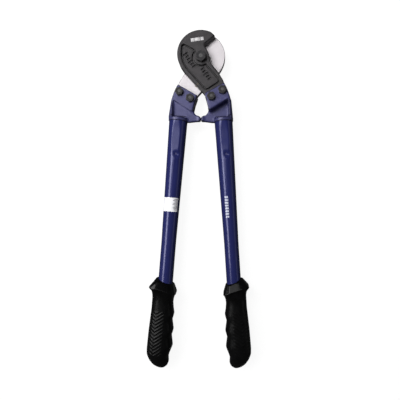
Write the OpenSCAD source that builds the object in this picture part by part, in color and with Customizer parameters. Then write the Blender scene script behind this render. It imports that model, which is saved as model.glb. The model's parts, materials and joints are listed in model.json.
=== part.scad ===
// Two-handed cutter for cable and wire rope, closed, lying flat with its head along +Y.
// The origin is on the jaw pivot's axis, in the plane that the tool rests on.
// Both halves use the same blade, arm, tube and grip: the left half is the right half
// turned over about the tool's long axis, so the two blades slide face to face.

/* [Blades] */
// Thickness of each blade
blade_t = 8.5; // [7.5:0.1:9]
// Radius of the round head
head_r = 32; // [31:0.5:33]
// Distance from the pivot to the centre of the round head
head_offset = 4.6; // [3.6:0.2:5.6]
// Width of the ground bevel along the cutting edge
bevel_w = 1.2; // [0.6:0.1:2]
// Depth of the sunk panel on a blade's outer face
panel_depth = 1.1; // [0.6:0.1:1.5]

/* [Arms] */
// Thickness of each fork ear
ear_t = 5; // [4:0.1:5.4]
// Half the thickness of the web under the pockets
web_half_t = 3; // [2.4:0.1:3.6]
// How deep the fork's slot is
slot_depth = 18.4; // [17:0.1:18.8]
// Radius of the collar that the tube butts against
collar_r = 12.7; // [12.5:0.1:13]
// Length of the spigot inside the tube
spigot_len = 50; // [40:1:60]

/* [Tubes] */
// Angle between each tube and the tool's long axis
splay = 4.1; // [4:0.05:4.4]
// Outer radius of the tube at the arm
tube_top_r = 12.3; // [12:0.1:12.4]
// Outer radius of the tube where it enters the grip
tube_low_r = 9.8; // [9.4:0.1:10]
// Length of the tapered stretch
taper_len = 166; // [140:1:190]
// Length of the whole tube
tube_len = 318; // [300:1:320]
// Wall thickness of the tube
tube_wall = 1.6; // [1.2:0.1:2.2]

/* [Grips] */
// Distance along the tube from the collar to the grip's mouth
grip_start = 211; // [205:1:215]
// Radius of the grip at its waist
grip_r = 14.8; // [14.5:0.1:15.2]
// Radius of the grip at its bulb
bulb_r = 16.9; // [16.5:0.1:17.2]
// How far the hand guard's rim leans towards the head on its outer side
guard_tilt = 13; // [10:1:16]

/* [Fasteners] */
// Radius of the pivot bolt's shank
pivot_r = 4; // [3.5:0.1:4]
// Radial running clearance of the turning blade on the pivot bolt
pivot_clearance = 0.05; // [0.02:0.01:0.09]
// Height of the pivot bolt's head
pivot_head_h = 5.3; // [4.5:0.1:5.5]
// Width across the flats of the pivot bolt's head and nut
pivot_flats = 13; // [12:0.5:13]
// Radius of the fork bolts' shanks
fork_bolt_r = 3; // [2.5:0.1:3]
// Height of a fork bolt's head
fork_head_h = 4; // [3.5:0.1:4.2]
// Width across the flats of a fork bolt's head and nut
fork_flats = 10; // [9:0.5:10]

/* [Hidden] */

cut = 1;                  // how far a cutting shape runs past a face
face_gap = 0.05;          // half the gap between faces that slide or stop on each other
hole_play = 0.1;          // radial play of the fork bolts in their holes
washer_t = 1.5;
nut_h = 5;
pivot_washer_t = 1.6;
pivot_washer_r = 8;
pivot_nut_h = 8;
spring_washer_r = 5;
spring_gap = 1;           // width of the split in a spring washer
chamfer_angle = 30;       // on the corners of bolt heads and nuts
flat_inset = 0.15;        // how far inside the flats that chamfer starts

// The rest plane is where the left fork's bolts and the pivot bolt end.
mid_z = blade_t + ear_t + washer_t + nut_h;
right_fork_top = blade_t + ear_t;
left_fork_top = ear_t;
fork_bolt_len = 2 * ear_t + blade_t + washer_t + nut_h;
outer_bolt_at = [29, -45.4];
inner_bolt_at = [14.5, -54];
left_outer_at = [-outer_bolt_at[0], outer_bolt_at[1]];
left_inner_at = [-inner_bolt_at[0], inner_bolt_at[1]];

// Blade outline, seen from the blade's outer face with the jaw to the left.
head_centre = [0, head_offset];
jaw_tip = [19.3, 28.7];
throat = [4.6, 16.6];
edge_angle = atan2(jaw_tip[1] - throat[1], jaw_tip[0] - throat[0]);
edge_len = norm(jaw_tip - throat);
flank_centre = [8.2, 6.2];
flank_r = 40.2;
panel_margin = 5.5;
boss_r = 10.8;
edge_land = 0.4;

// Arm outline. The ears' top edge runs from the outer corner down to the inner one.
ear_outer = [31.2, -35.3];
ear_inner = [5.1, -50];
ear_slope = atan2(ear_outer[1] - ear_inner[1], ear_outer[0] - ear_inner[0]);
ear_along = [cos(ear_slope), sin(ear_slope)];
tang_end = slot_depth - 0.2;
arm_arc_r = 87.4;
arm_arc_centre = [-43.9, -80];
drop_r = 10;
drop_centre = [0, -68.2];
collar_len = 3.8;
rim_inner_x = 37.2;
rim_w = 6.3;
rim_low_half_t = 9;
pad_len = 4.4;
pad_half_t = 4.2;

// Where the tube's axis leaves the collar.
tube_root = [30.7, -83.8];
spigot_play = 0.05;
grip_bore_end = tube_len + 1;
label_from = 104.5;
label_len = 18.6;
label_t = 0.15;
label_lift = 0.03;        // thickness of the glue under the label
label_turn = 129;          // degrees of the tube that the label covers
label_lean = 9.5;         // how far the label's middle is turned towards the outer side

heel_at = 114.5;
heel_r = 9.5;
guard_at = 19.3;
guard_r = 18.2;
valleys = [34.7, 57, 79, 105];
valley_r = 14;
valley_floor = 13.2;

function arc(centre, r, from, to, steps) = [
    for (i = [0 : steps])
        let (a = from + (to - from) * i / steps)
            centre + r * [cos(a), sin(a)]
];

// A point on the arm's outer outline at height y.
function arm_edge(y) = [
    arm_arc_centre[0] + sqrt(pow(arm_arc_r, 2) - pow(y - arm_arc_centre[1], 2)), y
];

// Straight down the ears from their top edge, square to it.
function down_ear(point, depth) = point + depth * [sin(ear_slope), -cos(ear_slope)];

// Shapes are drawn about the plane where the blades meet, then placed.
module right_half() {
    translate([0, 0, mid_z]) children();
}

module left_half() {
    translate([0, 0, mid_z]) rotate([0, 180, 0]) children();
}

// Along a tube: +Z of the children runs down the tube from the collar, +X points outwards.
module on_tube() {
    translate([tube_root[0], tube_root[1], 0]) rotate([0, 0, splay]) rotate([90, 0, 0]) children();
}

module blade_outline() {
    polygon(concat(
        arc(head_centre, head_r, 66, 203, 30),
        arc(flank_centre, flank_r, 203, 226, 5),
        [
            [2.4, -46.6], ear_inner + [0.4, -0.4],
            down_ear(ear_inner, tang_end) - 3.4 * ear_along,
            down_ear(ear_outer, tang_end) - 1.8 * ear_along,
            [32.2, -36], [29.4, -29.4], [23.2, -19.6], [17.8, -13.4], [14.2, -8.4],
            [12, -4], [11.2, 1], [10.5, 5], [8.6, 9.2], [5, 14.2], throat, jaw_tip, [17, 30.4]
        ]
    ));
}

module panel_outline() {
    difference() {
        polygon(concat(
            arc([-22.8, 13.9], 3.2, 64, 172, 6),
            arc(flank_centre, flank_r - panel_margin, 174, 223, 10),
            [[4.2, -41], [6.4, -43], [9, -43.2], [23.2, -33.8], [24.9, -31.6], [24.6, -29],
             [9.2, -11.6], [7.4, -9.6], [-8.5, 9.9]]
        ));
        circle(r = boss_r);
    }
}

module blade() {
    difference() {
        translate([0, 0, face_gap]) linear_extrude(blade_t - face_gap) blade_outline();
        translate([0, 0, blade_t - panel_depth]) linear_extrude(panel_depth + cut) panel_outline();
        // Bevel that rises from the cutting edge to the outer face.
        translate([throat[0], throat[1], 0]) rotate([0, 0, edge_angle]) rotate([90, 0, 90])
            linear_extrude(edge_len + 2 * bevel_w)
                polygon([[0, edge_land], [bevel_w, blade_t], [bevel_w, blade_t + cut], [0, blade_t + cut]]);
        for (at = [outer_bolt_at, inner_bolt_at])
            translate([at[0], at[1], -cut]) cylinder(r = fork_bolt_r + hole_play, h = blade_t + 2 * cut);
        children();
    }
}

module pivot_hole(r) {
    translate([0, 0, -cut]) cylinder(r = r, h = blade_t + 2 * cut);
}

module ear_outline() {
    polygon(concat(
        [ear_outer, ear_inner, [8.2, -59.7]],
        arc(drop_centre, drop_r, 0, -15, 2),
        [[13, -72], [36.4, -57], arm_edge(-57), arm_edge(-52), arm_edge(-47), arm_edge(-41)]
    ));
}

module web_outline() {
    polygon(concat(
        arc(drop_centre, drop_r, 0, -84, 8),
        [[face_gap, -77.2], [face_gap, -84.4], [18.2, -86.6], [18.2, -84.6], [24, -84]],
        [[40, -82], [38, -56], [13, -66]]
    ));
}

module slot_outline() {
    polygon([
        ear_inner + [-4, 2], ear_outer + [4, 2 + 4 * tan(ear_slope)],
        down_ear(ear_outer, slot_depth) + 12 * ear_along,
        down_ear(ear_inner, slot_depth) - 6 * ear_along
    ]);
}

module arm() {
    difference() {
        union() {
            translate([0, 0, -ear_t]) linear_extrude(2 * ear_t + blade_t) ear_outline();
            translate([0, 0, -web_half_t]) linear_extrude(2 * web_half_t) web_outline();
            translate([0, 0, -pad_half_t]) linear_extrude(2 * pad_half_t)
                polygon([[face_gap, -76.9], [face_gap, -84.4], [pad_len, -85], [pad_len, -75.6]]);
            // Outer rim, from the ears' full depth down to the collar.
            hull() {
                translate([rim_inner_x, -58, -ear_t]) cube([rim_w / 3, 2, 2 * ear_t + blade_t]);
                translate([rim_inner_x, -58, 0]) cube([rim_w * 0.6, 2, blade_t]);
                translate([rim_inner_x, -81, -rim_low_half_t]) cube([rim_w * 0.6, 2, 2 * rim_low_half_t]);
                translate([rim_inner_x, -81, -rim_low_half_t / 2]) cube([rim_w, 2, rim_low_half_t]);
            }
            on_tube() {
                translate([0, 0, -collar_len]) cylinder(r = collar_r, h = collar_len);
                cylinder(r1 = tube_top_r - tube_wall - spigot_play,
                         r2 = tube_radius(spigot_len) - tube_wall - spigot_play, h = spigot_len);
            }
        }
        linear_extrude(blade_t) slot_outline();
        for (at = [outer_bolt_at, inner_bolt_at])
            translate([at[0], at[1], -ear_t - cut])
                cylinder(r = fork_bolt_r + hole_play, h = 2 * ear_t + blade_t + 2 * cut);
    }
}

function tube_radius(s) = tube_top_r + (tube_low_r - tube_top_r) * min(s, taper_len) / taper_len;

module tube() {
    on_tube() rotate_extrude() polygon([
        [tube_top_r, 0], [tube_low_r, taper_len], [tube_low_r, tube_len],
        [tube_low_r - tube_wall, tube_len], [tube_low_r - tube_wall, taper_len], [tube_top_r - tube_wall, 0]
    ]);
}

// The finger side of the grip faces the other handle, so its valleys are at -X here.
module grip() {
    on_tube() translate([0, 0, grip_start]) difference() {
        union() {
            translate([0.8, 0, 0]) rotate_extrude() polygon(concat(
                [[0, guard_at], [tube_low_r + 2, guard_at], [grip_r, 27], [grip_r, 36], [bulb_r, 88]],
                arc([0, 102], bulb_r - 0.4, 15, 90, 8)
            ));
            translate([-3.5, 0, heel_at]) sphere(r = heel_r);
            // Hand guard, a dish that leans towards the head on its outer side.
            translate([2.6, 0, guard_at]) rotate([0, guard_tilt, 0]) rotate_extrude() polygon([
                [0, -14.2], [tube_low_r + 0.9, -14.2], [guard_r - 0.6, -1.6], [guard_r, 0],
                [guard_r - 0.8, 1.6], [tube_low_r + 4.6, 5.4], [0, 8]
            ]);
        }
        translate([0, 0, -grip_start]) cylinder(r = tube_low_r, h = grip_bore_end);
        for (s = valleys)
            translate([-valley_floor - valley_r, 0, s]) rotate([90, 0, 0])
                translate([0, 0, -25]) cylinder(r = valley_r, h = 50);
    }
}

module hex_prism(flats, h) {
    intersection() {
        cylinder(r = flats / sqrt(3), h = h, $fn = 6);
        cylinder(r1 = flats / 2 - flat_inset + h / tan(chamfer_angle), r2 = flats / 2 - flat_inset, h = h);
    }
}

module bolt(flats, head_h, r, length) {
    hex_prism(flats, head_h);
    translate([0, 0, -length]) cylinder(r = r, h = length + cut);
}

module ring(outer_r, inner_r, h) {
    difference() {
        cylinder(r = outer_r, h = h);
        translate([0, 0, -cut]) cylinder(r = inner_r, h = h + 2 * cut);
    }
}

module spring_washer() {
    difference() {
        ring(spring_washer_r, fork_bolt_r + hole_play, washer_t);
        translate([0, -spring_gap / 2, -cut])
            cube([spring_washer_r + cut, spring_gap, washer_t + 2 * cut]);
    }
}

module nut(flats, h, r) {
    difference() {
        hex_prism(flats, h);
        translate([0, 0, -cut]) cylinder(r = r, h = h + 2 * cut);
    }
}

module fork_bolt(at, top) {
    translate([at[0], at[1], mid_z + top]) rotate([0, 0, 15])
        bolt(fork_flats, fork_head_h, fork_bolt_r, fork_bolt_len);
}

module fork_washer(at, top) {
    translate([at[0], at[1], mid_z + top - 2 * ear_t - blade_t - washer_t]) spring_washer();
}

module fork_nut(at, top) {
    translate([at[0], at[1], mid_z + top - 2 * ear_t - blade_t - washer_t]) mirror([0, 0, 1])
        nut(fork_flats, nut_h, fork_bolt_r);
}

module front_blade() {
    color("#4a474a") right_half() blade() pivot_hole(pivot_r);
}

module rear_blade() {
    color("#d8d2d4") left_half() blade() pivot_hole(pivot_r + pivot_clearance);
}

module pivot_bolt() {
    color("#5a5759") translate([0, 0, mid_z + blade_t])
        bolt(pivot_flats, pivot_head_h, pivot_r, mid_z + blade_t);
}

module pivot_washer() {
    color("#5a5759") translate([0, 0, mid_z - blade_t - face_gap - pivot_washer_t])
        ring(pivot_washer_r, pivot_r, pivot_washer_t);
}

module pivot_nut() {
    color("#5a5759") translate([0, 0, mid_z - blade_t - face_gap - pivot_washer_t]) mirror([0, 0, 1])
        nut(pivot_flats, pivot_nut_h, pivot_r);
}

module right_arm() { color("#35367c") right_half() arm(); }
module left_arm() { color("#35367c") left_half() arm(); }
module right_tube() { color("#30316f") right_half() tube(); }
module left_tube() { color("#30316f") left_half() tube(); }
module right_grip() { color("#141416") right_half() grip(); }
module left_grip() { color("#141416") left_half() grip(); }

// A thin sticker wrapped round the front of the left tube.
module size_label() {
    r_high = tube_radius(label_from) + label_lift;
    r_low = tube_radius(label_from + label_len) + label_lift;
    color("#eeeef2") left_half() on_tube() translate([0, 0, label_from])
        rotate([0, 0, label_lean - 90 - label_turn / 2]) rotate_extrude(angle = label_turn) polygon([
            [r_high, 0], [r_high + label_t, 0], [r_low + label_t, label_len], [r_low, label_len]
        ]);
}

module right_outer_bolt() { color("#5f5e60") fork_bolt(outer_bolt_at, right_fork_top); }
module right_outer_washer() { color("#5f5e60") fork_washer(outer_bolt_at, right_fork_top); }
module right_outer_nut() { color("#5f5e60") fork_nut(outer_bolt_at, right_fork_top); }
module right_inner_bolt() { color("#5f5e60") fork_bolt(inner_bolt_at, right_fork_top); }
module right_inner_washer() { color("#5f5e60") fork_washer(inner_bolt_at, right_fork_top); }
module right_inner_nut() { color("#5f5e60") fork_nut(inner_bolt_at, right_fork_top); }

module left_outer_bolt() { color("#5f5e60") fork_bolt(left_outer_at, left_fork_top); }
module left_outer_washer() { color("#5f5e60") fork_washer(left_outer_at, left_fork_top); }
module left_outer_nut() { color("#5f5e60") fork_nut(left_outer_at, left_fork_top); }
module left_inner_bolt() { color("#5f5e60") fork_bolt(left_inner_at, left_fork_top); }
module left_inner_washer() { color("#5f5e60") fork_washer(left_inner_at, left_fork_top); }
module left_inner_nut() { color("#5f5e60") fork_nut(left_inner_at, left_fork_top); }

front_blade();
rear_blade();
pivot_bolt();
pivot_washer();
pivot_nut();
right_arm();
left_arm();
right_tube();
left_tube();
right_grip();
left_grip();
size_label();
right_outer_bolt();
right_outer_washer();
right_outer_nut();
right_inner_bolt();
right_inner_washer();
right_inner_nut();
left_outer_bolt();
left_outer_washer();
left_outer_nut();
left_inner_bolt();
left_inner_washer();
left_inner_nut();
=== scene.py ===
"""Looks of a two-handed cable cutter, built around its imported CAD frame.

Lengths are in millimetres until a mesh is made. Both halves of the tool are the same shapes: the
front half as drawn, and the rear half turned over about the tool's long axis. A half's own frame has
z = 0 where the blades meet, +X towards its handle and +Z out of the tool.
"""

import json
import math

import bpy
import numpy as np
import openvdb
from mathutils import Matrix, Vector

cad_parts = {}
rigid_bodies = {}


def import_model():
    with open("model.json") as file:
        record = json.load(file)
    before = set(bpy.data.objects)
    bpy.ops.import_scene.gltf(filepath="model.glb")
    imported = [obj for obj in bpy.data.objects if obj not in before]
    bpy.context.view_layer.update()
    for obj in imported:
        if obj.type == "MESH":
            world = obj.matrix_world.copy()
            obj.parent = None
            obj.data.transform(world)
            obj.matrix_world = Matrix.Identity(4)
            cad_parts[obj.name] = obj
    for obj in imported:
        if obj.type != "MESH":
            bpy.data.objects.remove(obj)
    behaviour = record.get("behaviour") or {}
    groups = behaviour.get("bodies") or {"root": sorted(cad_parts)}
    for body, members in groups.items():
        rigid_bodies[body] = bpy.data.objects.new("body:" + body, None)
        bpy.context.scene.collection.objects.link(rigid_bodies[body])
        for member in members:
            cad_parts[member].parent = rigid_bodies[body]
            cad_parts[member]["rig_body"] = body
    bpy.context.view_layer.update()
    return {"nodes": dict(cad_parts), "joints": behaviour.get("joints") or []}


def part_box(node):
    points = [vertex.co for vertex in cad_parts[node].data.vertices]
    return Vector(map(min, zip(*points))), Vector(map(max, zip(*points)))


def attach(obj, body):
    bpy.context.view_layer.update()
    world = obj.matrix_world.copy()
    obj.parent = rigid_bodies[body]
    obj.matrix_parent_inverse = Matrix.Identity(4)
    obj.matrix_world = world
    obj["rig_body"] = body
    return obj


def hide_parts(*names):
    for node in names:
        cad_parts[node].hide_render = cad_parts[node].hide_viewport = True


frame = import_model()

MM = 0.001
FRONT, REAR = "front_half", "rear_half"

# ---------------------------------------------------------------- sizes, from the frame
MID_Z = frame["joints"][0]["pos_m"][2] / MM


def node_box(node):
    """A front-half node's lowest and highest corner, in its half's frame."""
    low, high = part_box(node)
    shift = np.array([0, 0, MID_Z])
    return np.array(low) / MM - shift, np.array(high) / MM - shift


BLADE_T = node_box("front_blade")[1][2]

# A tube's axis: where it leaves the collar, and its lean away from the tool's long axis.
TUBE_ROOT = np.array([30.7, -83.8, 0.0])
SPLAY = math.radians(4.1)
TUBE_TOP_R, TUBE_LOW_R, TUBE_WALL = 12.3, 9.8, 1.6
TAPER_LEN, TUBE_LEN = 166.0, 318.0
COLLAR_LEN = 3.8
GRIP_START, GRIP_LEN = 211.0, 124.0
PIVOT_SHANK_R, FORK_SHANK_R = 4.0, 3.0


# ---------------------------------------------------------------- camera
CAMERA_AT = Vector((0.0403, -0.1906, 0.470))
VIEW_WIDTH = 0.544          # metres across the picture at the plane where the blades meet
VIEW_SHIFT = -0.075         # how far the picture is moved sideways, as a share of its width
SENSOR = 36.0
ROLL = math.radians(0.45)


def make_camera():
    """A camera straight above the tool, with its picture shifted to where the photo has the tool."""
    data = bpy.data.cameras.new("camera")
    data.sensor_width = SENSOR
    data.lens = SENSOR * (CAMERA_AT.z - MID_Z * MM) / VIEW_WIDTH
    data.shift_x = VIEW_SHIFT
    data.clip_start, data.clip_end = 0.01, 20
    camera = bpy.data.objects.new("camera", data)
    camera.location = CAMERA_AT
    camera.rotation_euler = (0, 0, ROLL)
    bpy.context.scene.collection.objects.link(camera)
    bpy.context.scene.camera = camera


make_camera()


# ---------------------------------------------------------------- materials
class Shader:
    """A node material under construction: a Principled surface and short ways to add nodes to it."""

    def __init__(self, name, colour, roughness, metallic=0.0):
        self.material = bpy.data.materials.new(name)
        self.material.use_nodes = True
        self.tree = self.material.node_tree
        self.surface = self.tree.nodes["Principled BSDF"]
        self.surface.inputs["Base Color"].default_value = (*colour, 1)
        self.surface.inputs["Roughness"].default_value = roughness
        self.surface.inputs["Metallic"].default_value = metallic
        self.place = self.add("ShaderNodeTexCoord").outputs["Object"]
        self.last_bump = None

    def add(self, kind, **values):
        node = self.tree.nodes.new(kind)
        for key, value in values.items():
            setattr(node, key, value)
        return node

    def link(self, source, target):
        self.tree.links.new(source, target)

    def stretched(self, scale, turn):
        """Object coordinates in metres, turned and then scaled along each axis."""
        node = self.add("ShaderNodeMapping")
        node.inputs["Scale"].default_value = scale
        node.inputs["Rotation"].default_value = turn
        self.link(self.place, node.inputs["Vector"])
        return node.outputs["Vector"]

    def noise(self, size_mm, detail=3.0, roughness=0.5, vector=None):
        """Noise whose blotches are about size_mm across."""
        node = self.add("ShaderNodeTexNoise")
        node.inputs["Scale"].default_value = 1 / (size_mm * MM) if vector is None else 1.0
        node.inputs["Detail"].default_value = detail
        node.inputs["Roughness"].default_value = roughness
        self.link(self.place if vector is None else vector, node.inputs["Vector"])
        return node.outputs["Fac"]

    def ramp(self, value, stops):
        """Colours or greys over a value: stops are (position, colour or grey)."""
        node = self.add("ShaderNodeValToRGB")
        elements = node.color_ramp.elements
        while len(elements) < len(stops):
            elements.new(0.5)
        for element, (at, shade) in zip(elements, stops):
            element.position = at
            element.color = (*shade, 1) if isinstance(shade, tuple) else (shade, shade, shade, 1)
        self.link(value, node.inputs["Fac"])
        return node.outputs["Color"]

    def blotches(self, size_mm, detail, first, second, roughness=0.5):
        """Noise that goes from one colour or grey to another, in blotches about size_mm across."""
        return self.ramp(self.noise(size_mm, detail, roughness), [(0.3, first), (0.7, second)])

    def mix(self, factor, first, second):
        """From the first to the second: each is a number, a colour or a node's output."""
        node = self.add("ShaderNodeMix", data_type="RGBA")
        for socket, value in ((node.inputs[0], factor), (node.inputs[6], first), (node.inputs[7], second)):
            if isinstance(value, bpy.types.NodeSocket):
                self.link(value, socket)
            elif isinstance(value, tuple):
                socket.default_value = (*value, 1)
            else:
                socket.default_value = value
        return node.outputs[2]

    def math(self, operation, first, second):
        """One operation on two values: each is a number or a node's output."""
        node = self.add("ShaderNodeMath", operation=operation)
        for socket, value in zip(node.inputs, (first, second)):
            if isinstance(value, bpy.types.NodeSocket):
                self.link(value, socket)
            else:
                socket.default_value = value
        return node.outputs[0]

    def colour(self, value):
        self.link(value, self.surface.inputs["Base Color"])

    def roughness(self, value):
        self.link(value, self.surface.inputs["Roughness"])

    def bump(self, height, depth_mm, strength):
        """Fine relief in the shading, on top of the bumps before it."""
        node = self.add("ShaderNodeBump")
        node.inputs["Strength"].default_value = strength
        node.inputs["Distance"].default_value = depth_mm * MM
        self.link(height, node.inputs["Height"])
        if self.last_bump is not None:
            self.link(self.last_bump, node.inputs["Normal"])
        self.last_bump = node.outputs["Normal"]
        self.link(self.last_bump, self.surface.inputs["Normal"])

    def edges(self, low, high):
        """From 0 to 1 where the surface is a convex edge."""
        return self.ramp(self.add("ShaderNodeNewGeometry").outputs["Pointiness"], [(low, 0.0), (high, 1.0)])

    def corners(self, low, high):
        """From 1 to 0 where the surface is a concave corner."""
        return self.ramp(self.add("ShaderNodeNewGeometry").outputs["Pointiness"], [(low, 1.0), (high, 0.0)])

    def near(self, point, size_mm, raggedness):
        """From 0.7 to 0 within about size_mm of a point, with a ragged border."""
        distance = self.add("ShaderNodeVectorMath", operation="DISTANCE")
        self.link(self.place, distance.inputs[0])
        distance.inputs[1].default_value = point
        reach = self.math("DIVIDE", distance.outputs["Value"], size_mm * MM)
        return self.ramp(self.math("ADD", reach, raggedness), [(0.9, 0.7), (1.4, 0.0)])


# A small rust stain, in metres: where it lies on the rear blade's shank and on the front blade's edge.
STAIN_LOW, STAIN_HIGH = (-0.0062, -0.0362, 0.0205), (-0.0042, -0.0368, 0.0268)
GRIND_TURN = math.radians(28)


def oxide_steel():
    """Forged steel with a satin black oxide, painted lighter on its convex edges as a highlight and darker
    in its concave corners as shade.
    """
    s = Shader("oxide_steel", (0.045, 0.043, 0.045), 0.5, 0.2)
    face = s.blotches(7, 4, (0.030, 0.028, 0.030), (0.044, 0.040, 0.043), 0.6)
    # Convex edges are painted lighter: a painted highlight.
    edge_highlit = s.mix(s.edges(0.515, 0.60), face, (0.12, 0.115, 0.115))
    stained = s.mix(s.near(STAIN_HIGH, 5.5, s.noise(6, 2)), edge_highlit, (0.11, 0.085, 0.05))
    # Concave corners are painted nearly black: painted shade.
    s.colour(s.mix(s.corners(0.475, 0.4985), stained, (0.003, 0.003, 0.004)))
    s.roughness(s.blotches(2.5, 3, 0.46, 0.58))
    s.bump(s.noise(0.9, 4, 0.65), 0.05, 0.5)
    s.bump(s.noise(5, 2), 0.1, 0.3)
    return s.material


def ground_steel():
    """Satin steel with fine grinding lines along the blade."""
    s = Shader("ground_steel", (0.6, 0.57, 0.59), 0.42, 0.1)
    lines = s.noise(1, 3, 0.7, s.stretched((260, 3600, 900), (0, 0, GRIND_TURN)))
    face = s.mix(s.noise(9, 3), (0.65, 0.615, 0.635), (0.55, 0.52, 0.54))
    face = s.mix(s.near(STAIN_LOW, 6.5, s.noise(6, 2)), face, (0.12, 0.085, 0.04))
    # Concave corners are painted darker: painted shade.
    s.colour(s.mix(s.corners(0.46, 0.49), face, (0.12, 0.11, 0.12)))
    s.roughness(s.ramp(lines, [(0.3, 0.36), (0.7, 0.5)]))
    s.bump(lines, 0.012, 0.5)
    return s.material


def fastener_steel():
    """Oxide-black bolts, nuts and washers."""
    s = Shader("fastener_steel", (0.03, 0.029, 0.03), 0.46)
    face = s.blotches(2.2, 3, (0.016, 0.015, 0.017), (0.025, 0.024, 0.026))
    s.colour(s.mix(s.edges(0.52, 0.6), face, (0.1, 0.1, 0.1)))
    s.roughness(s.blotches(1.2, 2, 0.42, 0.55))
    s.surface.inputs["Specular IOR Level"].default_value = 0.3
    s.bump(s.noise(0.5, 3), 0.02, 0.5)
    return s.material


def arm_enamel():
    """Navy enamel over a casting: the casting's grain shows through."""
    s = Shader("arm_enamel", (0.034, 0.035, 0.105), 0.4)
    face = s.blotches(6, 3, (0.030, 0.031, 0.095), (0.040, 0.041, 0.118))
    # Convex edges are painted lighter: a painted highlight.
    edge_highlit = s.mix(s.edges(0.52, 0.58), face, (0.085, 0.088, 0.19))
    # Concave corners are painted nearly black: painted shade.
    s.colour(s.mix(s.corners(0.47, 0.497), edge_highlit, (0.004, 0.004, 0.018)))
    s.roughness(s.blotches(2, 3, 0.34, 0.46))
    s.surface.inputs["Specular IOR Level"].default_value = 0.75
    s.surface.inputs["Specular Tint"].default_value = (0.8, 0.78, 1, 1)
    s.bump(s.noise(0.8, 4, 0.6), 0.03, 0.5)
    s.bump(s.noise(4, 2), 0.12, 0.3)
    return s.material


def tube_enamel():
    """Glossy navy enamel on drawn tube, with a little orange peel."""
    s = Shader("tube_enamel", (0.016, 0.02, 0.115), 0.3)
    s.colour(s.blotches(20, 2, (0.012, 0.015, 0.078), (0.014, 0.017, 0.09)))
    s.roughness(s.blotches(6, 2, 0.21, 0.26))
    s.surface.inputs["Specular IOR Level"].default_value = 0.75
    s.surface.inputs["Specular Tint"].default_value = (0.7, 0.7, 1, 1)
    s.bump(s.noise(6, 1), 0.01, 0.15)
    return s.material


GUARD_FOOT_Y, HANDLED_FADE = -0.3125, 0.02      # metres along the tool


def grip_rubber():
    """Glossy black dipped PVC."""
    s = Shader("grip_rubber", (0.0018, 0.0018, 0.002), 0.28)
    s.surface.inputs["Specular IOR Level"].default_value = 0.2
    s.colour(s.blotches(9, 3, (0.0012, 0.0012, 0.0013), (0.0026, 0.0026, 0.0028)))
    # Hands have dulled everything below the guard.
    split = s.add("ShaderNodeSeparateXYZ")
    s.link(s.place, split.inputs[0])
    below = s.math("SUBTRACT", GUARD_FOOT_Y, split.outputs["Y"])
    handled = s.ramp(s.math("DIVIDE", below, HANDLED_FADE), [(0.0, 0.0), (1.0, 1.0)])
    s.roughness(s.mix(handled, s.blotches(3, 3, 0.14, 0.18), s.blotches(3, 3, 0.34, 0.42)))
    s.bump(s.noise(0.7, 3), 0.01, 0.2)
    return s.material


def label_film():
    """White plastic film with a satin face."""
    s = Shader("label_film", (0.82, 0.82, 0.85), 0.35)
    s.colour(s.blotches(5, 2, (0.80, 0.80, 0.83), (0.86, 0.86, 0.88)))
    s.bump(s.noise(2.5, 2), 0.03, 0.3)
    return s.material


def label_ink():
    """Grey ink of the generic bars on the label."""
    s = Shader("label_ink", (0.2, 0.2, 0.23), 0.5)
    s.colour(s.blotches(1.5, 2, (0.16, 0.16, 0.19), (0.26, 0.26, 0.29)))
    return s.material


def tube_print():
    """Pale ink of the generic bars printed on a tube."""
    s = Shader("tube_print", (0.5, 0.52, 0.62), 0.45)
    s.colour(s.ramp(s.noise(1.2, 3), [(0.35, (0.32, 0.34, 0.46)), (0.65, (0.62, 0.64, 0.72))]))
    return s.material


def bright_plate():
    """Bare metal of the small plate on the front blade."""
    s = Shader("bright_plate", (0.5, 0.49, 0.5), 0.45, 0.1)
    s.colour(s.ramp(s.noise(1.6, 3), [(0.35, (0.34, 0.33, 0.34)), (0.65, (0.62, 0.61, 0.62))]))
    s.bump(s.noise(0.6, 3), 0.03, 0.5)
    return s.material


OXIDE, GROUND, FASTENER = oxide_steel(), ground_steel(), fastener_steel()
ARM_PAINT, TUBE_PAINT, RUBBER = arm_enamel(), tube_enamel(), grip_rubber()
LABEL, INK, PRINT, PLATE = label_film(), label_ink(), tube_print(), bright_plate()


# ---------------------------------------------------------------- making pieces
def place_matrix(body):
    """From a half's frame in millimetres to the tool's frame in metres."""
    over = Matrix.Rotation(math.pi, 4, "Y") if body == REAR else Matrix.Identity(4)
    return Matrix.Translation((0, 0, MID_Z * MM)) @ over @ Matrix.Scale(MM, 4)


def make_piece(name, points, faces, material, body, slot, replaces=(), sharp_angle=35):
    """A smooth-shaded piece from points in its half's frame, in place of the CAD nodes it replaces."""
    mesh = bpy.data.meshes.new(name)
    mesh.from_pydata(np.asarray(points, float).tolist(), [], [list(map(int, f)) for f in faces])
    mesh.transform(place_matrix(body))
    mesh.validate()
    piece = bpy.data.objects.new(name, mesh)
    bpy.context.scene.collection.objects.link(piece)
    mesh.materials.append(material)
    mesh.shade_smooth()
    mesh.set_sharp_from_angle(angle=math.radians(sharp_angle))
    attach(piece, body)
    if replaces:
        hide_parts(*replaces)
    return piece


def rings_to_faces(count, sides, closed=False):
    """Quads between rings of points, each ring with the same number of sides."""
    quads = []
    last = count if closed else count - 1
    for i in range(last):
        j = (i + 1) % count
        for k in range(sides):
            n = (k + 1) % sides
            quads.append((i * sides + k, i * sides + n, j * sides + n, j * sides + k))
    return quads


def join_parts(parts):
    """One set of points and faces from several."""
    points, faces = [], []
    for some_points, some_faces in parts:
        faces += [tuple(len(points) + v for v in f) for f in some_faces]
        points += some_points
    return points, faces


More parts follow.
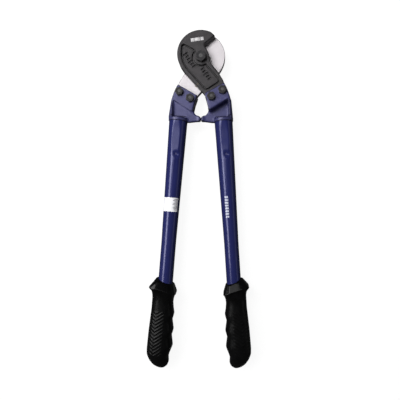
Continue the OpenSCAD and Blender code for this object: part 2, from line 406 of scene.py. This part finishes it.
# ---------------------------------------------------------------- solids as distance fields
class Volume:
    """A block of space in a half's frame, sampled on a cubic grid. Distances are negative inside."""

    def __init__(self, low, high, pitch):
        self.pitch = pitch
        self.start = np.floor(np.array(low) / pitch).astype(int)
        self.count = np.ceil(np.array(high) / pitch).astype(int) - self.start + 1
        axes = [(self.start[i] + np.arange(self.count[i])) * pitch for i in range(3)]
        self.x, self.y, self.z = np.meshgrid(*axes, indexing="ij", sparse=True)

    def from_node(self, node, reach=12):
        """The distance field of a front-half CAD node, exact within reach grid steps."""
        mesh = frame["nodes"][node].data
        mesh.calc_loop_triangles()
        points = np.empty(len(mesh.vertices) * 3, np.float32)
        mesh.vertices.foreach_get("co", points)
        corners = np.empty(len(mesh.loop_triangles) * 3, np.int32)
        mesh.loop_triangles.foreach_get("vertices", corners)
        points = points.reshape(-1, 3) / MM - np.array([0, 0, MID_Z])
        grid = openvdb.FloatGrid.createLevelSetFromPolygons(
            points.astype(np.float32), triangles=corners.reshape(-1, 3).astype(np.uint32),
            transform=openvdb.createLinearTransform(voxelSize=self.pitch), halfWidth=float(reach),
        )
        values = np.empty(self.count, np.float32)
        grid.copyToArray(values, ijk=tuple(int(v) for v in self.start))
        return values

    def mesh(self, values):
        """Points and quads of the surface where the field is zero."""
        band = 3 * self.pitch
        grid = openvdb.FloatGrid(background=band)
        grid.copyFromArray(np.clip(values, -band, band).astype(np.float32))
        points, quads = grid.convertToQuads(isovalue=0.0)
        return (points + self.start) * self.pitch, quads[:, ::-1]


def blur(values, size):
    """Gaussian smoothing of a field, with size in grid steps. It rounds edges and fills corners."""
    reach = int(math.ceil(2.5 * size))
    weights = np.exp(-0.5 * (np.arange(-reach, reach + 1) / size) ** 2)
    weights /= weights.sum()
    for axis in range(3):
        padded = np.pad(values, [(reach, reach) if a == axis else (0, 0) for a in range(3)], mode="edge")
        total = np.zeros_like(values)
        for shift, weight in enumerate(weights):
            window = [slice(None)] * 3
            window[axis] = slice(shift, shift + values.shape[axis])
            total += weight * padded[tuple(window)]
        values = total
    return values


def union(a, b, fillet):
    """Two fields joined, with a fillet of about that size where they meet."""
    h = np.maximum(fillet - np.abs(a - b), 0)
    return np.minimum(a, b) - h * h / (4 * fillet)


def cut(a, b, fillet):
    """The first field less the second, with their common edge rounded."""
    return -union(-a, b, fillet)


def polygon_field(volume, points):
    """The signed distance to a closed outline, in the XY plane."""
    x, y = volume.x[:, :, 0], volume.y[:, :, 0]
    nearest = np.full(np.broadcast(x, y).shape, np.inf)
    inside = np.zeros(nearest.shape, bool)
    points = np.array(points, float)
    for (ax, ay), (bx, by) in zip(points, np.roll(points, -1, 0)):
        ex, ey = bx - ax, by - ay
        t = np.clip(((x - ax) * ex + (y - ay) * ey) / (ex * ex + ey * ey), 0, 1)
        nearest = np.minimum(nearest, np.hypot(x - ax - t * ex, y - ay - t * ey))
        if ay != by:
            inside ^= ((ay > y) != (by > y)) & (x < ax + (y - ay) * ex / ey)
    return np.where(inside, -nearest, nearest)[:, :, None]


def round_field(volume, radius):
    """The signed distance to a cylinder about the pivot's axis."""
    return np.hypot(volume.x, volume.y) - radius


def arc(centre, radius, start, end, steps):
    """Points along an arc, from a start to an end in degrees."""
    angles = np.radians(np.linspace(start, end, steps + 1))
    return [(centre[0] + radius * math.cos(a), centre[1] + radius * math.sin(a)) for a in angles]


def tube_frame(volume):
    """Along a tube, out of it towards the tool's outside, and across it, for each grid point."""
    dx, dy = volume.x - TUBE_ROOT[0], volume.y - TUBE_ROOT[1]
    along = dx * math.sin(SPLAY) - dy * math.cos(SPLAY)
    out = dx * math.cos(SPLAY) + dy * math.sin(SPLAY)
    return along, out, volume.z


# ---------------------------------------------------------------- blades
BLADE_PITCH = 0.36
BORE_R = PIVOT_SHANK_R + 0.15
# Smoothing, in grid steps: forged edges are round on the outer face and crisp on the ground face.
# It grows from crisp to soft over this share of the blade's thickness.
SOFT, CRISP, SOFT_FROM = 1.5, 0.7, 0.625

# The sunk panel on a blade's outer face, less the boss around the pivot.
PANEL_DEPTH, BOSS_R = 1.1, 10.8
PANEL = arc((-22.8, 13.9), 3.2, 64, 172, 6) + arc((8.2, 6.2), 34.7, 174, 223, 10) + [
    (4.2, -41), (6.4, -43), (9, -43.2), (23.2, -33.8), (24.9, -31.6), (24.6, -29),
    (9.2, -11.6), (7.4, -9.6), (-8.5, 9.9),
]
# The groove along the foot of the panel's wall: its depth, its middle's distance from the wall, and
# half its width.
GROOVE_DEPTH, GROOVE_MID, GROOVE_HALF = 1.7, 0.6, 0.72

# Two rows of plain ticks in the panel: where each row starts, and its ticks' lengths.
MARK_DEPTH, MARK_W, MARK_STEP = 1.3, 1.7, 4.0
MARK_TURN = math.radians(-55)
LONG, SHORT = 7.4, 4.8
MARK_ROWS = [
    ((-20.6, 4.2), (LONG, SHORT, SHORT, LONG, SHORT, SHORT)),
    ((2.4, -15.4), (SHORT, SHORT, LONG, SHORT, SHORT)),
]

# Three small blocks of bright metal above the pivot: each one's middle and length along their row.
PLATE_AT, PLATE_TURN = (-5.6, 23.5), math.radians(9)
PLATE_BLOCKS = [(-5.9, 4.4), (0.6, 7.4), (7.0, 4.2)]
PLATE_H, PLATE_CORNER_R, PLATE_SIDES = 4.6, 0.7, 32
PLATE_RINGS = [(0.0, -0.4), (0.0, 0.05), (0.15, 0.15)]      # inset, and height over the blade's face


def tick_marks(volume, first, lengths):
    """The distance to a row of ticks, such as a scale has. The row runs from first, downwards."""
    row = (math.cos(MARK_TURN), math.sin(MARK_TURN))
    field = np.inf
    for number, length in enumerate(lengths):
        cx, cy = first[0] + number * MARK_STEP * row[0], first[1] + number * MARK_STEP * row[1]
        dx, dy = volume.x[:, :, 0] - cx, volume.y[:, :, 0] - cy
        across = dx * row[0] + dy * row[1]
        down = dx * row[1] - dy * row[0]
        past = np.maximum(np.abs(down) - (length - MARK_W) / 2, 0)
        field = np.minimum(field, np.hypot(across, past) - MARK_W / 2)
    return field[:, :, None]


def blade_mesh(marked):
    """The CAD's blade with softened edges, a groove around its panel and, if marked, rows of ticks."""
    low, high = node_box("front_blade")
    volume = Volume(low - 2, high + 2, BLADE_PITCH)
    field = volume.from_node("front_blade")
    share = np.clip(volume.z / (SOFT_FROM * BLADE_T), 0, 1)
    solid = blur(field, CRISP) * (1 - share) + blur(field, SOFT) * share
    # The pivot's bore is cut again, as the smoothing has closed it a little.
    solid = np.maximum(solid, -round_field(volume, BORE_R))
    panel = np.maximum(polygon_field(volume, PANEL), -round_field(volume, BOSS_R))
    groove = np.abs(panel + GROOVE_MID) - GROOVE_HALF
    solid = np.maximum(solid, -np.maximum(groove, BLADE_T - PANEL_DEPTH - GROOVE_DEPTH - volume.z))
    for first, lengths in MARK_ROWS if marked else []:
        ticks = tick_marks(volume, first, lengths)
        solid = np.maximum(solid, -np.maximum(ticks, BLADE_T - PANEL_DEPTH - MARK_DEPTH - volume.z))
    return volume.mesh(solid)


make_piece("front_blade_forging", *blade_mesh(True), OXIDE, FRONT, "oxide_steel", ["front_blade"])
make_piece("rear_blade_forging", *blade_mesh(False), GROUND, REAR, "ground_steel", ["rear_blade"])


def plate_block(middle, length):
    """A small rounded block of bright metal, let into the front blade's face."""
    c, n = math.cos(PLATE_TURN), math.sin(PLATE_TURN)
    points = []
    for inset, height in PLATE_RINGS:
        radius = PLATE_CORNER_R - inset
        for k in range(PLATE_SIDES):
            a = 2 * math.pi * (k + 0.5) / PLATE_SIDES
            x = math.copysign(length / 2 - PLATE_CORNER_R, math.cos(a)) + radius * math.cos(a) + middle
            y = math.copysign(PLATE_H / 2 - PLATE_CORNER_R, math.sin(a)) + radius * math.sin(a)
            points.append((PLATE_AT[0] + x * c - y * n, PLATE_AT[1] + x * n + y * c, BLADE_T + height))
    bottom = list(range(PLATE_SIDES - 1, -1, -1))
    top = list(range(len(points) - PLATE_SIDES, len(points)))
    return points, rings_to_faces(len(PLATE_RINGS), PLATE_SIDES) + [bottom, top]


plate = join_parts([plate_block(middle, length) for middle, length in PLATE_BLOCKS])
make_piece("front_blade_plate", *plate, PLATE, FRONT, "ground_steel")


# ---------------------------------------------------------------- arms
ARM_PITCH = 0.45
# Smoothing, in grid steps: the ears are crisp; below them and past the rim the edges are round, as a
# casting's are.
EAR_SOFT, CAST_SOFT = 1.0, 2.4
EAR_LOW_Y, EAR_FADE = -57.0, 5.0
RIM_X, RIM_FADE = 35.5, 3.0
# The rounded lip where the collar meets the tube.
LIP_LEN, LIP_R, LIP_EDGE_R, LIP_FILLET = 1.5, 13.1, 1.2, 0.8
LIP_CLEARANCE = 0.05
# The groove between the pocket's floor and the collar.
COLLAR_GROOVE_AT, COLLAR_GROOVE_REACH = -COLLAR_LEN - 1.2, 10.5
COLLAR_GROOVE_HALF, COLLAR_GROOVE_DEPTH, COLLAR_GROOVE_FILLET = 0.75, 0.9, 0.5
# The lower end of the drop-shaped opening between the two arms.
DROP_END = [(-2, -68), (-2, -79.2), (0.1, -78.9), (2.6, -77.4), (6, -75), (9.4, -70.6), (9.9, -68)]
DROP_FILLET = 1.2


def arm_mesh():
    """The CAD's arm with a casting's edges, the end of its opening, and its collar's groove and lip."""
    low, high = node_box("right_arm")
    volume = Volume(low - 2, high + 2, ARM_PITCH)
    field = volume.from_node("right_arm")
    below_ears = np.clip((EAR_LOW_Y - volume.y) / EAR_FADE, 0, 1)
    share = np.maximum(below_ears, np.clip((volume.x - RIM_X) / RIM_FADE, 0, 1))
    solid = blur(field, EAR_SOFT) * (1 - share) + blur(field, CAST_SOFT) * share
    solid = cut(solid, polygon_field(volume, DROP_END), DROP_FILLET)
    along, out, across = tube_frame(volume)
    groove = np.abs(along - COLLAR_GROOVE_AT) - COLLAR_GROOVE_HALF
    groove = np.maximum(groove, np.abs(out) - COLLAR_GROOVE_REACH)
    groove = np.maximum(groove, -(solid + COLLAR_GROOVE_DEPTH))
    solid = cut(solid, groove, COLLAR_GROOVE_FILLET)
    radius = np.hypot(out, across)
    middle, half = (LIP_LEN - COLLAR_LEN) / 2, (LIP_LEN + COLLAR_LEN) / 2
    past_side = np.maximum(radius - LIP_R + LIP_EDGE_R, 0)
    past_end = np.maximum(np.abs(along - middle) - half + LIP_EDGE_R, 0)
    lip = np.hypot(past_side, past_end) - LIP_EDGE_R
    # Past the collar's end, the lip leaves room for the tube.
    lip = np.where(along > 0, np.maximum(lip, TUBE_TOP_R + LIP_CLEARANCE - radius), lip)
    return volume.mesh(union(solid, lip, LIP_FILLET))


ARM_POINTS, ARM_FACES = arm_mesh()
make_piece("right_arm_casting", ARM_POINTS, ARM_FACES, ARM_PAINT, FRONT, "arm_enamel", ["right_arm"])
make_piece("left_arm_casting", ARM_POINTS, ARM_FACES, ARM_PAINT, REAR, "arm_enamel", ["left_arm"])


# ---------------------------------------------------------------- round pieces along a tube
def on_tube(along, out, across):
    """A point in a half's frame from its place along, out of and across a tube."""
    return (
        TUBE_ROOT[0] + along * math.sin(SPLAY) + out * math.cos(SPLAY),
        TUBE_ROOT[1] - along * math.cos(SPLAY) + out * math.sin(SPLAY),
        TUBE_ROOT[2] + across,
    )


def tube_radius(along):
    """A tube's outside radius, which tapers down to the grip."""
    return TUBE_TOP_R + (TUBE_LOW_R - TUBE_TOP_R) * min(max(along, 0), TAPER_LEN) / TAPER_LEN


# Along a tube: the round dimple of its crimp, the shallow flat around the spigot, and a pressed groove.
CRIMP_AT, CRIMP_R, CRIMP_DEPTH = 46.0, 3.4, 2.0
FLAT_AT, FLAT_LEN, FLAT_DEPTH = 24.0, 20.0, 1.1
GROOVE_FROM, GROOVE_TO, GROOVE_W = 48.0, 98.0, 1.9
GROOVE_FADE_IN, GROOVE_FADE_OUT = 6.0, 30.0
STEEPEST = 0.3          # the crimps stop where the tube's side is steeper than this
TUBE_SIDES, TUBE_EDGE_R = 128, 0.6


def crimp(along, angle, turn, groove):
    """How far a tube is pressed in, front and back: a round dimple below a shallow flat, and a groove."""
    side = np.where(np.sin(angle) >= 0, angle - turn, angle + turn)
    across = tube_radius(along) * np.cos(side)
    steep = np.maximum(np.abs(np.sin(angle)), STEEPEST)
    dimple = CRIMP_DEPTH * np.exp(-((along - CRIMP_AT) ** 2 + across ** 2) / CRIMP_R ** 2)
    level = tube_radius(along) - FLAT_DEPTH * np.exp(-((along - FLAT_AT) / FLAT_LEN) ** 4)
    flat = np.maximum(tube_radius(along) - level / steep, 0)
    fade_in = np.clip((along - GROOVE_FROM) / GROOVE_FADE_IN, 0, 1)
    fade_out = np.clip((GROOVE_TO - along) / GROOVE_FADE_OUT, 0, 1)
    line = groove * fade_in * fade_out * np.exp(-(across / GROOVE_W) ** 2)
    return (dimple + flat + line) * (np.abs(np.sin(side)) > STEEPEST)


def tube_mesh(turn, groove):
    """A tapered tube. Its crimps are turned from its front and back towards its outer side."""
    angle = 2 * np.pi * np.arange(TUBE_SIDES) / TUBE_SIDES
    # Rings lie close together where the tube is pressed in.
    outside = [0.0, 0.25, 0.6, 1.0, 2.0, *np.arange(4, 16, 3.0), *np.arange(16, 104, 0.8)]
    outside += [*np.arange(104, TUBE_LEN, 10.0), TUBE_LEN - 0.4, TUBE_LEN]
    inside = [TUBE_LEN, TAPER_LEN, *np.arange(100, 16, -2.0), 0.0]
    radii = []
    for s in outside:
        rest = max(TUBE_EDGE_R - s, 0)
        rounding = TUBE_EDGE_R - math.sqrt(TUBE_EDGE_R ** 2 - rest ** 2)
        radii.append(tube_radius(s) - rounding - crimp(s, angle, turn, groove))
    for s in inside:
        radii.append(tube_radius(s) - TUBE_WALL - crimp(s, angle, turn, groove))
    points = []
    for s, r in zip(outside + inside, radii):
        points += np.stack(on_tube(s, r * np.cos(angle), r * np.sin(angle)), axis=-1).tolist()
    return points, rings_to_faces(len(radii), TUBE_SIDES, closed=True)


right_tube = tube_mesh(math.radians(-9), 0.0)
left_tube = tube_mesh(math.radians(13), 0.3)
make_piece("right_tube_body", *right_tube, TUBE_PAINT, FRONT, "tube_enamel", ["right_tube"])
make_piece("left_tube_body", *left_tube, TUBE_PAINT, REAR, "tube_enamel", ["left_tube"])


# ---------------------------------------------------------------- grips
# A grip's stations run from 0 at its slanted mouth, over the guard's rim and the end of its back slope,
# to its tip. Past the guard they are plain distances along the tube.
RIM, GUARD_END = 15.0, 30.0
# Where the mouth and the rim lie along the tube: the middle, towards the outside, and to the front or back.
MOUTH_SLANT, RIM_SLANT = (5.5, -3.3, 1.6), (19.3, -4.2, -2.6)
# Half-widths at those stations: towards the tool's outside, towards the other handle, to the front.
GRIP_OUTER = [(0, 10.2), (0.7, 12.4), (RIM, 20.6), (19.5, 16.9), (25, 15.7), (42, 15.6), (72, 17.2),
              (98, 17.8), (105, 17.2), (112, 14.2), (118, 9.9), (121.5, 5.2), (GRIP_LEN, -4)]
GRIP_INNER = [(0, 10.2), (0.7, 11.2), (RIM, 15.4), (22, 13.5), (34.9, 12.3), (43, 13.4), (50.0, 15.0),
              (58.7, 13.1), (71.8, 15.7), (80.4, 13.7), (93.4, 16.2), (103.4, 12.9), (108.2, 11.8),
              (115.4, 12.8), (119.8, 11.4), (122.5, 8.6), (GRIP_LEN, 4)]
GRIP_FRONT = [(0, 10.2), (0.7, 11.4), (RIM, 16.4), (18, 14.9), (24, 14.3), (34, 14.2), (60, 14.8),
              (90, 16.0), (104, 15.4), (113, 12.6), (119, 9), (122.5, 5.2), (GRIP_LEN, 0)]
# How square the section is: 2 is an ellipse.
GRIP_SQUARE = [(0, 2), (2.5, 4.2), (RIM, 5.2), (20, 3.6), (GUARD_END, 2.5), (104, 2.5), (120, 2)]


PROFILE_STEP, PROFILE_SOFT = 0.1, 0.8       # how finely a profile is sampled, and how far it is softened
MOUTH_FADE, TIP_FADE = 2.0, 6.0             # towards its two ends it is left sharp


def smooth_profile(knots, stations):
    """Knots joined by straight lines, and then softened."""
    at, value = np.array(knots, float).T
    fine = np.arange(-20, GRIP_LEN + 20, PROFILE_STEP)
    line = np.interp(fine, at, value)
    reach = np.arange(-40, 41) * PROFILE_STEP
    weights = np.exp(-0.5 * (reach / PROFILE_SOFT) ** 2)
    soft = np.convolve(line, weights / weights.sum(), mode="same")
    share = np.clip((GRIP_LEN - fine) / TIP_FADE, 0, 1) * np.clip(fine / MOUTH_FADE, 0, 1)
    return np.interp(stations, fine, soft * share + line * (1 - share))


def grip_along(station, angle):
    """Distance along the tube from the grip's start. The mouth and the guard's rim both slant."""
    mouth, rim = (
        middle + outwards * np.cos(angle) + facing * np.abs(np.sin(angle))
        for middle, outwards, facing in (MOUTH_SLANT, RIM_SLANT)
    )
    neck = mouth + (rim - mouth) * station / RIM
    slope = rim + (GUARD_END - rim) * (station - RIM) / (GUARD_END - RIM)
    return np.where(station < RIM, neck, np.where(station < GUARD_END, slope, station))


RIB_PITCH, RIB_HEIGHT, RIB_SLANT = 4.7, 0.4, 0.75
RIB_FROM, RIB_TO = 44.0, 104.0
RIB_CENTRE, RIB_OUTER, RIB_INNER = 6.8, 15.5, -5.0
RIB_END_FADE, RIB_SIDE_FADE, RIB_FACE = 2.0, 1.5, 3.0


def ribs(along, out, front):
    """Herringbone ribs on the front and back of a grip."""
    inside = np.clip((along - RIB_FROM) / RIB_END_FADE, 0, 1)
    inside = inside * np.clip((RIB_TO - along) / RIB_END_FADE, 0, 1)
    inside = inside * np.clip((RIB_OUTER - out) / RIB_SIDE_FADE, 0, 1)
    inside = inside * np.clip((out - RIB_INNER) / RIB_SIDE_FADE, 0, 1)
    wave = 0.5 + 0.5 * np.cos(2 * math.pi * (along + RIB_SLANT * np.abs(out - RIB_CENTRE)) / RIB_PITCH)
    return RIB_HEIGHT * inside * wave * wave * (np.abs(front) > RIB_FACE)


# Two flats on the guard's front corners: the way each faces (along, out, to the front) and its distance.
GUARD_FACETS = [((-0.5, 0.17, 0.85), 8.3), ((-0.45, -0.38, 0.81), 7.15)]
FLATTEST = 0.05         # a flat doesn't cut where the section hardly rises towards it
GRIP_SIDES, GRIP_STEP = 220, 0.4
TIP_FROM, TIP_RINGS, TIP_GAP = 118.0, 26, 0.02      # the tip has finer rings, up to a small gap
THINNEST = 0.01
GRIP_BORE_R = TUBE_LOW_R + 0.05


def grip_mesh():
    """A grip: its outside, ring by ring, then its closed tip and its bore."""
    body, tip = np.arange(0, TIP_FROM, GRIP_STEP), np.linspace(TIP_FROM, GRIP_LEN - TIP_GAP, TIP_RINGS)
    station = np.concatenate([body, tip])[:, None]
    angle = np.linspace(0, 2 * math.pi, GRIP_SIDES, endpoint=False)[None, :]
    outer, inner = smooth_profile(GRIP_OUTER, station), smooth_profile(GRIP_INNER, station)
    front, power = smooth_profile(GRIP_FRONT, station), smooth_profile(GRIP_SQUARE, station)
    centre, half = (outer - inner) / 2, np.maximum((outer + inner) / 2, THINNEST)
    front = np.maximum(front, THINNEST)
    c, n = np.cos(angle), np.sin(angle)
    radius = (np.abs(c / half) ** power + np.abs(n / front) ** power) ** (-1 / power)
    along = grip_along(station, angle)
    for (back, side, face), depth in GUARD_FACETS:
        rise = side * c + face * np.abs(n)
        room = (depth - back * along - side * centre) / np.maximum(rise, FLATTEST)
        radius = np.where(rise > FLATTEST, np.minimum(radius, room), radius)
    radius = radius + ribs(along, centre + radius * c, radius * n)
    grid = np.stack(on_tube(GRIP_START + along, centre + radius * c, radius * n), axis=-1)
    points = grid.reshape(-1, 3).tolist()
    faces = rings_to_faces(len(station), GRIP_SIDES)
    last, end = (len(station) - 1) * GRIP_SIDES, len(points)
    points.append(on_tube(GRIP_START + GRIP_LEN, centre[-1, 0], 0))
    faces += [(last + k, last + (k + 1) % GRIP_SIDES, end) for k in range(GRIP_SIDES)]
    # The bore for the tube, from the slanted mouth to a closed end.
    base = len(points)
    for place in (grip_along(0, angle[0]), np.full(GRIP_SIDES, TUBE_LEN - GRIP_START + 1)):
        ring = on_tube(GRIP_START + place, GRIP_BORE_R * np.cos(angle[0]), GRIP_BORE_R * np.sin(angle[0]))
        points += np.stack(np.broadcast_arrays(*ring), axis=-1).tolist()
    for k in range(GRIP_SIDES):
        n = (k + 1) % GRIP_SIDES
        faces.append((k, base + k, base + n, n))
        faces.append((base + k, base + GRIP_SIDES + k, base + GRIP_SIDES + n, base + n))
    faces.append([base + GRIP_SIDES + k for k in range(GRIP_SIDES)])
    return points, faces


GRIP_POINTS, GRIP_FACES = grip_mesh()
make_piece("right_grip_sleeve", GRIP_POINTS, GRIP_FACES, RUBBER, FRONT, "grip_rubber", ["right_grip"])
make_piece("left_grip_sleeve", GRIP_POINTS, GRIP_FACES, RUBBER, REAR, "grip_rubber", ["left_grip"])


# ---------------------------------------------------------------- fasteners
HEX_SIDES = 96
CHAMFER = math.tan(math.radians(30))
HEX_CORNER = 0.985      # how much of a sharp hexagon's corner radius is left
PIVOT_FLATS, FORK_FLATS = 13.0, 10.0
PIVOT_HEAD_H, FORK_HEAD_H = 5.3, 4.0
LOCK_CROWN = 2.2
FACE_INSET = 0.25       # how far a head's round top face is inside its flats
DISH_SHARE, DISH_EDGE, DISH_DEPTH = 0.27, 0.1, 0.14
POINT_R = 0.001         # a ring with no radius would have faces with no area


def hex_radii(flats, turn):
    """A hexagon's radius at each side's angle, with its corners just turned off."""
    angle = 2 * math.pi * np.arange(HEX_SIDES) / HEX_SIDES - turn
    within = (angle + math.pi / 6) % (math.pi / 3) - math.pi / 6
    return np.minimum(flats / 2 / np.cos(within), HEX_CORNER * flats / math.sqrt(3))


def stack_rings(centre, rings, direction=1):
    """Closed rings of (radius at each side, height at each side) about a vertical axis."""
    angle = 2 * math.pi * np.arange(HEX_SIDES) / HEX_SIDES
    points = []
    for radius, height in rings:
        radius, height = np.broadcast_to(radius, HEX_SIDES), np.broadcast_to(height, HEX_SIDES)
        x, y = centre[0] + radius * np.cos(angle), centre[1] + radius * np.sin(angle)
        points += np.stack([x, y, centre[2] + direction * height], axis=-1).tolist()
    return points


def hex_sides(flats, height, turn, low_chamfer):
    """Outside rings of a hexagonal head or nut, from its seat up to the edge of its top face."""
    radii = hex_radii(flats, turn)
    face = flats / 2 - FACE_INSET
    top = height - np.maximum(radii - face, 0) * CHAMFER
    low = np.maximum(radii - face, 0) * CHAMFER if low_chamfer else 0.15 + 0 * radii
    seat = face if low_chamfer else radii - 0.15
    # Each edge has a small bevel, which catches the light.
    return [(seat, 0.0), (radii - 0.06, low * 0.9), (radii, low + 0.08), (radii, top - 0.12),
            (radii - 0.1, top + 0.03), (face + 0.15, height - 0.05), (face - 0.15, height)]


def world_piece(name, points, faces, node):
    """A fastener from points in the tool's frame, in millimetres above the rest plane."""
    body = frame["nodes"][node]["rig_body"]
    points = np.array(points) - np.array([0, 0, MID_Z])
    if body == REAR:
        points = points * np.array([-1, 1, -1])
    return make_piece(name, points, faces, FASTENER, body, "fastener_steel", [node], sharp_angle=28)


def make_bolt(node, flats, head_h, shank_r, turn):
    """A bolt whose head has a shallow dish in its top."""
    low, high = (np.array(corner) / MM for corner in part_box(node))
    seat = [(low[0] + high[0]) / 2, (low[1] + high[1]) / 2, high[2] - head_h]
    length = seat[2] - low[2]
    rings = [(POINT_R, -length), (shank_r - 0.5, -length), (shank_r, -length + 0.5)]
    rings += [(shank_r, -0.3), (shank_r + 0.2, 0.0)]
    rings += hex_sides(flats, head_h, turn, False)
    dish = flats * DISH_SHARE
    rings += [(dish + 0.5, head_h), (dish, head_h - DISH_EDGE)]
    rings += [(dish * 0.4, head_h - DISH_DEPTH), (POINT_R, head_h - DISH_DEPTH)]
    world_piece(node + "_turned", stack_rings(seat, rings), rings_to_faces(len(rings), HEX_SIDES), node)


def make_nut(node, flats, bore_r, turn, crown=0.0):
    """A nut below its seat. A crown is the round collar of a lock nut, at its free end."""
    low, high = (np.array(corner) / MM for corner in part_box(node))
    end = high[2] - low[2]
    seat = [(low[0] + high[0]) / 2, (low[1] + high[1]) / 2, high[2]]
    rings = hex_sides(flats, end - crown, turn, True)
    if crown:
        rings += [(flats / 2 - 0.9, end - crown), (flats / 2 - 1.0, end - 0.9), (flats / 2 - 1.9, end)]
    rings += [(bore_r + 0.5, end), (bore_r + 0.02, end - 0.5), (bore_r + 0.02, 0.5), (bore_r + 0.5, 0.0)]
    faces = rings_to_faces(len(rings), HEX_SIDES, closed=True)
    world_piece(node + "_turned", stack_rings(seat, rings, -1), [f[::-1] for f in faces], node)


make_bolt("pivot_bolt", PIVOT_FLATS, PIVOT_HEAD_H, PIVOT_SHANK_R, math.radians(8))
make_nut("pivot_nut", PIVOT_FLATS, PIVOT_SHANK_R, math.radians(20), LOCK_CROWN)
# The fork bolts and nuts stand at angles of their own, as tightening left them.
for number, place in enumerate(("right_outer", "right_inner", "left_outer", "left_inner")):
    make_bolt(place + "_bolt", FORK_FLATS, FORK_HEAD_H, FORK_SHANK_R, math.radians(15 + 13 * number))
    make_nut(place + "_nut", FORK_FLATS, FORK_SHANK_R, math.radians(40 - 11 * number))

# The washers are the CAD's own solids.
for washer in [piece for node, piece in frame["nodes"].items() if node.endswith("_washer")]:
    washer.data.materials.clear()
    washer.data.materials.append(FASTENER)


# ---------------------------------------------------------------- label and print
def tube_patch(start, length, first, last, lift, thick, up):
    """A thin sheet wrapped on a tube, from first to last degrees off its front towards its outer side.

    Up is which way the photo's side faces in the half's frame: 1 in the front half, -1 in the rear one.
    """
    columns = int(abs(last - first) / DEGREES_PER_FACE) + 1
    points = []
    for level in (lift, lift + thick):
        for s in (start, start + length):
            for a in np.radians(np.linspace(first, last, columns)):
                r = tube_radius(s) + level
                points.append(on_tube(s, r * math.sin(a), up * r * math.cos(a)))
    count = 2 * columns
    faces = []
    for a in range(columns - 1):
        b = columns + a
        faces.append((a, a + 1, b + 1, b))
        faces.append((count + a, count + b, count + b + 1, count + a + 1))
    edge = list(range(columns)) + list(range(count - 1, columns - 1, -1))
    for a, b in zip(edge, edge[1:] + edge[:1]):
        faces.append((a, count + a, count + b, b))
    return points, faces


DEGREES_PER_FACE = 3
INK_T = 0.03
LABEL_FROM, LABEL_LEN = 104.5, 18.6
LABEL_INNER, LABEL_OUTER = -55.0, 74.0
LABEL_LIFT, LABEL_T = 0.03, 0.15
# Grey bars on the label, in place of its small print: how many degrees each one covers.
BAR_DEGREES = [26, 34, 22, 30, 34, 24, 32, 28, 20]
BAR_MARGIN, BAR_START, BAR_STEP, BAR_W = 5.0, 1.6, 1.75, 0.85
# Pale bars on the right tube, in place of its printing.
PRINT_FROM, PRINT_BLOCKS, PRINT_STEP, PRINT_W = 102.0, 8, 3.7, 2.5
PRINT_FIRST, PRINT_LAST, PRINT_LIFT = -28.0, -3.0, 0.01

sheet = tube_patch(LABEL_FROM, LABEL_LEN, LABEL_INNER, LABEL_OUTER, LABEL_LIFT, LABEL_T, -1)
make_piece("label_sheet", *sheet, LABEL, REAR, "label_film", ["size_label"])

bars = []
for number, degrees in enumerate(BAR_DEGREES):
    start, first = LABEL_FROM + BAR_START + number * BAR_STEP, LABEL_INNER + BAR_MARGIN
    bars.append(tube_patch(start, BAR_W, first, first + degrees, LABEL_LIFT + LABEL_T, INK_T, -1))
make_piece("label_bars", *join_parts(bars), INK, REAR, "label_film")

marks = []
for number in range(PRINT_BLOCKS):
    start = PRINT_FROM + number * PRINT_STEP
    marks.append(tube_patch(start, PRINT_W, PRINT_FIRST, PRINT_LAST, PRINT_LIFT, INK_T, 1))
make_piece("tube_marks", *join_parts(marks), PRINT, FRONT, "label_film")


# ---------------------------------------------------------------- floor and light
ROOM, FLOOR_Z = 6.0, -0.0002        # in metres: the room's half-width and height, and its floor
FLOOR_GLOW = 0.93


def make_floor():
    """A white room, open at the top. It is seen by the camera but isn't mirrored in the tool."""
    mesh = bpy.data.meshes.new("floor")
    square = [(-ROOM, -ROOM), (ROOM, -ROOM), (ROOM, ROOM), (-ROOM, ROOM)]
    points = [(x, y, z) for z in (FLOOR_Z, ROOM) for x, y in square]
    walls = [(k, (k + 1) % 4, 4 + (k + 1) % 4, 4 + k) for k in range(4)]
    mesh.from_pydata(points, [], [(0, 1, 2, 3)] + walls)
    floor = bpy.data.objects.new("floor", mesh)
    bpy.context.scene.collection.objects.link(floor)
    s = Shader("floor", (0.1, 0.1, 0.1), 0.9)
    s.colour(s.blotches(400, 2, 0.09, 0.11))
    s.surface.inputs["Emission Color"].default_value = (1, 1, 1, 1)
    s.surface.inputs["Emission Strength"].default_value = FLOOR_GLOW
    mesh.materials.append(s.material)
    floor.visible_glossy = False
    floor.visible_diffuse = False


def area_light(name, place, aim, size, power, glossy=True):
    """A rectangular lamp; its place, aim and size are in metres. If not glossy, it leaves no highlight."""
    data = bpy.data.lights.new(name, "AREA")
    data.shape = "RECTANGLE"
    data.size, data.size_y = size
    data.energy = power
    lamp = bpy.data.objects.new(name, data)
    lamp.location = place
    lamp.visible_glossy = glossy
    lamp.rotation_euler = (Vector(aim) - Vector(place)).to_track_quat("-Z", "Y").to_euler()
    bpy.context.scene.collection.objects.link(lamp)


def make_world(strength):
    """White light from all round."""
    world = bpy.data.worlds.new("studio")
    world.use_nodes = True
    world.node_tree.nodes["Background"].inputs["Color"].default_value = (1, 1, 1, 1)
    world.node_tree.nodes["Background"].inputs["Strength"].default_value = strength
    bpy.context.scene.world = world


make_floor()
make_world(0.06)
area_light("side_strip", (-0.54, -0.03, 0.62), (0.0, -0.03, 0.02), (0.9, 0.26), 5.0)
area_light("right_strip", (0.75, -0.15, 0.34), (0.0, -0.15, 0.02), (0.9, 0.2), 0.3)
area_light("overhead", (-0.45, 0.36, 1.25), (-0.1, 0.0, 0.02), (0.65, 0.9), 4.0)
area_light("key", (-0.4, 0.36, 1.1), (0, -0.15, 0), (0.5, 0.5), 10.5, glossy=False)
bpy.context.scene.view_settings.view_transform = "Standard"
